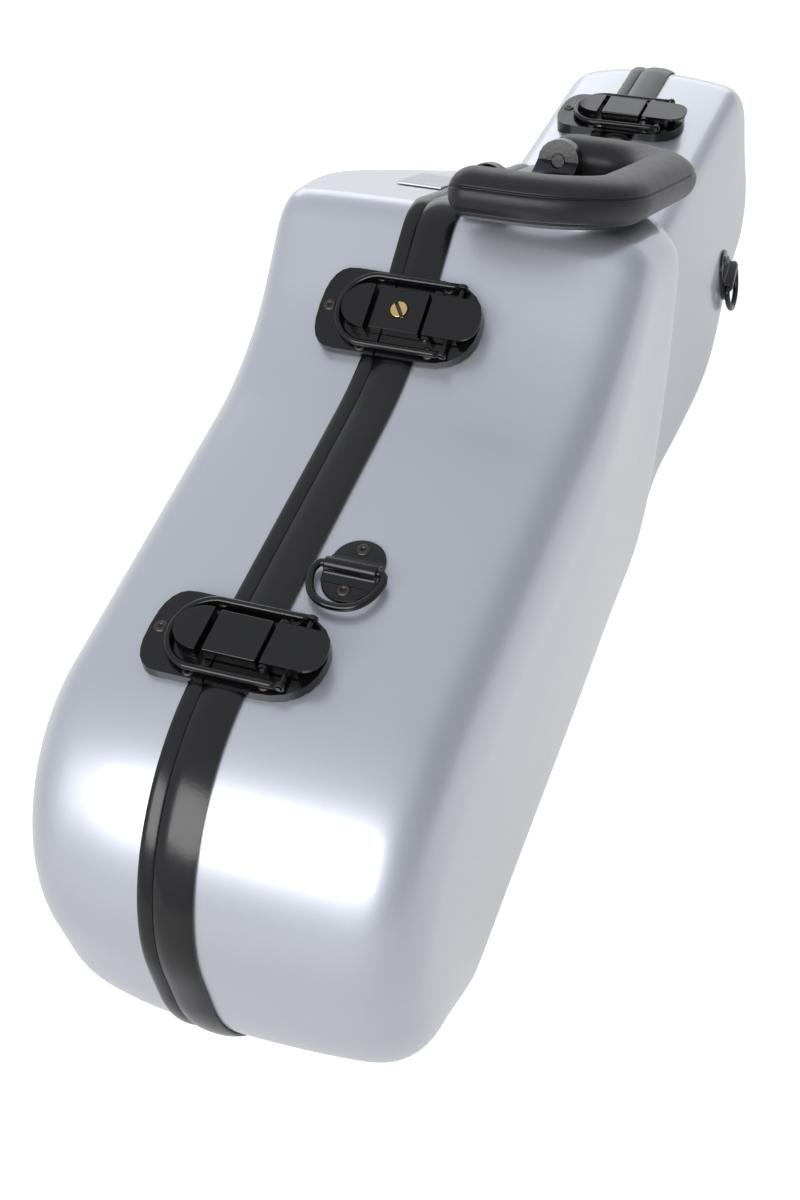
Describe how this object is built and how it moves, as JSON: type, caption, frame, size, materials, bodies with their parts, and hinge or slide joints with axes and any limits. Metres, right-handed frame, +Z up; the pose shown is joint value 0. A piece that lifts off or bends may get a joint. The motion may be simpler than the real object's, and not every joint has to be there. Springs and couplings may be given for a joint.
{
  "type": "alto saxophone case",
  "caption": "Contoured hard case for an alto saxophone with a hinged lid, draw latches, a folding grip and strap rings.",
  "frame": {"origin": "centre of the case's plan on the ground under its rubber feet", "axes": "+X along the case from the bow end to the neck end, +Y from the deep base shell towards the lid, +Z up from the hinge spine to the latches"},
  "size_m": [0.6608, 0.1684, 0.3092],
  "materials": {
    "silver_lacquer": "silver-grey metallic lacquer over glass fibre, satin gloss",
    "black_rubber": "matte black rubber",
    "black_lacquer": "glossy black lacquered sheet steel",
    "steel": "plain steel",
    "brass": "turned brass",
    "plush": "dark plush over foam"
  },
  "bodies": {
    "base": {"base_liner": "plush", "base_rim_seal": "black_rubber", "base_shell": "silver_lacquer", "bell_cradle": "plush", "bow_cradle": "plush", "foot_base_bow": "black_rubber", "foot_base_neck": "black_rubber", "handle_pin_bow": "black_lacquer", "handle_pin_neck": "black_lacquer", "handle_saddle": "black_rubber", "handle_screw_bow": "steel", "handle_screw_neck": "steel", "hinge_bow_base_leaf": "black_lacquer", "hinge_bow_pin": "steel", "hinge_mid_base_leaf": "black_lacquer", "hinge_mid_pin": "steel", "hinge_neck_base_leaf": "black_lacquer", "hinge_neck_pin": "steel", "latch_bell_base": "black_lacquer", "latch_bell_cover": "black_lacquer", "latch_bell_pivot_pin": "steel", "latch_bow_base": "black_lacquer", "latch_bow_cover": "black_lacquer", "latch_bow_pivot_pin": "steel", "latch_neck_base": "black_lacquer", "latch_neck_cover": "black_lacquer", "latch_neck_pivot_pin": "steel", "neck_cradle": "plush", "strap_bracket_bow": "black_lacquer", "strap_bracket_neck": "black_lacquer"},
    "lid": {"badge_plate": "steel", "foot_lid_bow": "black_rubber", "foot_lid_neck": "black_rubber", "hinge_bow_lid_leaf": "black_lacquer", "hinge_mid_lid_leaf": "black_lacquer", "hinge_neck_lid_leaf": "black_lacquer", "latch_bell_keeper": "black_lacquer", "latch_bow_keeper": "black_lacquer", "latch_neck_keeper": "black_lacquer", "lid_liner": "plush", "lid_pad": "plush", "lid_rim_seal": "black_rubber", "lid_shell": "silver_lacquer"},
    "lever_bow": {"latch_bow_lever": "black_lacquer"},
    "lever_bell": {"latch_bell_lever": "black_lacquer"},
    "lever_neck": {"latch_neck_lever": "black_lacquer"},
    "bail_bow": {"latch_bow_bail": "black_lacquer"},
    "bail_bell": {"latch_bell_bail": "black_lacquer"},
    "bail_neck": {"latch_neck_bail": "black_lacquer"},
    "lock": {"lock_barrel": "brass"},
    "grip": {"handle_grip": "black_rubber"},
    "ring_bow": {"strap_ring_bow": "black_lacquer"},
    "ring_neck": {"strap_ring_neck": "black_lacquer"}
  },
  "joints": [
    {"name": "lid_hinge", "type": "hinge", "parent": "base", "child": "lid", "pos_m": [0, 0.01555, 0.006], "axis": [-1, 0, 0], "range_deg": [0, 105]},
    {"name": "lever_bow_hinge", "type": "hinge", "parent": "base", "child": "lever_bow", "pos_m": [-0.23539, -0.00495, 0.25878], "axis": [-1, 0, -0.0089], "range_deg": [0, 100]},
    {"name": "bail_bow_hinge", "type": "hinge", "parent": "lever_bow", "child": "bail_bow", "pos_m": [-0.23538, -0.01345, 0.25838], "axis": [-1, 0, -0.0089], "range_deg": [-125, 0]},
    {"name": "lever_bell_hinge", "type": "hinge", "parent": "base", "child": "lever_bell", "pos_m": [-0.06556, -0.00495, 0.26648], "axis": [-0.9442, 0, -0.3294], "range_deg": [0, 100]},
    {"name": "bail_bell_hinge", "type": "hinge", "parent": "lever_bell", "child": "bail_bell", "pos_m": [-0.06543, -0.01345, 0.2661], "axis": [-0.9442, 0, -0.3294], "range_deg": [-125, 0]},
    {"name": "lever_neck_hinge", "type": "hinge", "parent": "base", "child": "lever_neck", "pos_m": [0.25018, -0.00495, 0.14119], "axis": [-0.9871, 0, 0.1604], "range_deg": [0, 100]},
    {"name": "bail_neck_hinge", "type": "hinge", "parent": "lever_neck", "child": "bail_neck", "pos_m": [0.25012, -0.01345, 0.1408], "axis": [-0.9871, 0, 0.1604], "range_deg": [-125, 0]},
    {"name": "lock_turn", "type": "hinge", "parent": "base", "child": "lock", "pos_m": [-0.06642, 0.00895, 0.26893], "axis": [-0.3294, 0, 0.9442], "range_deg": [0, 90]},
    {"name": "grip_hinge", "type": "hinge", "parent": "base", "child": "grip", "pos_m": [0.03842, -0.01065, 0.26154], "axis": [-0.857, 0, 0.5154], "range_deg": [0, 160]},
    {"name": "ring_bow_hinge", "type": "hinge", "parent": "base", "child": "ring_bow", "pos_m": [-0.1901, -0.01645, 0.25449], "axis": [0, 1, 0], "range_deg": [0, 165]},
    {"name": "ring_neck_hinge", "type": "hinge", "parent": "base", "child": "ring_neck", "pos_m": [0.23959, -0.05505, 0.04243], "axis": [-0.9964, -0.0846, 0.0092], "range_deg": [0, 165]}
  ],
  "couplings": [
    {"joint": "bail_bow_hinge", "follows": "lever_bow_hinge", "ratio": -1.25},
    {"joint": "bail_bell_hinge", "follows": "lever_bell_hinge", "ratio": -1.25},
    {"joint": "bail_neck_hinge", "follows": "lever_neck_hinge", "ratio": -1.25}
  ]
}
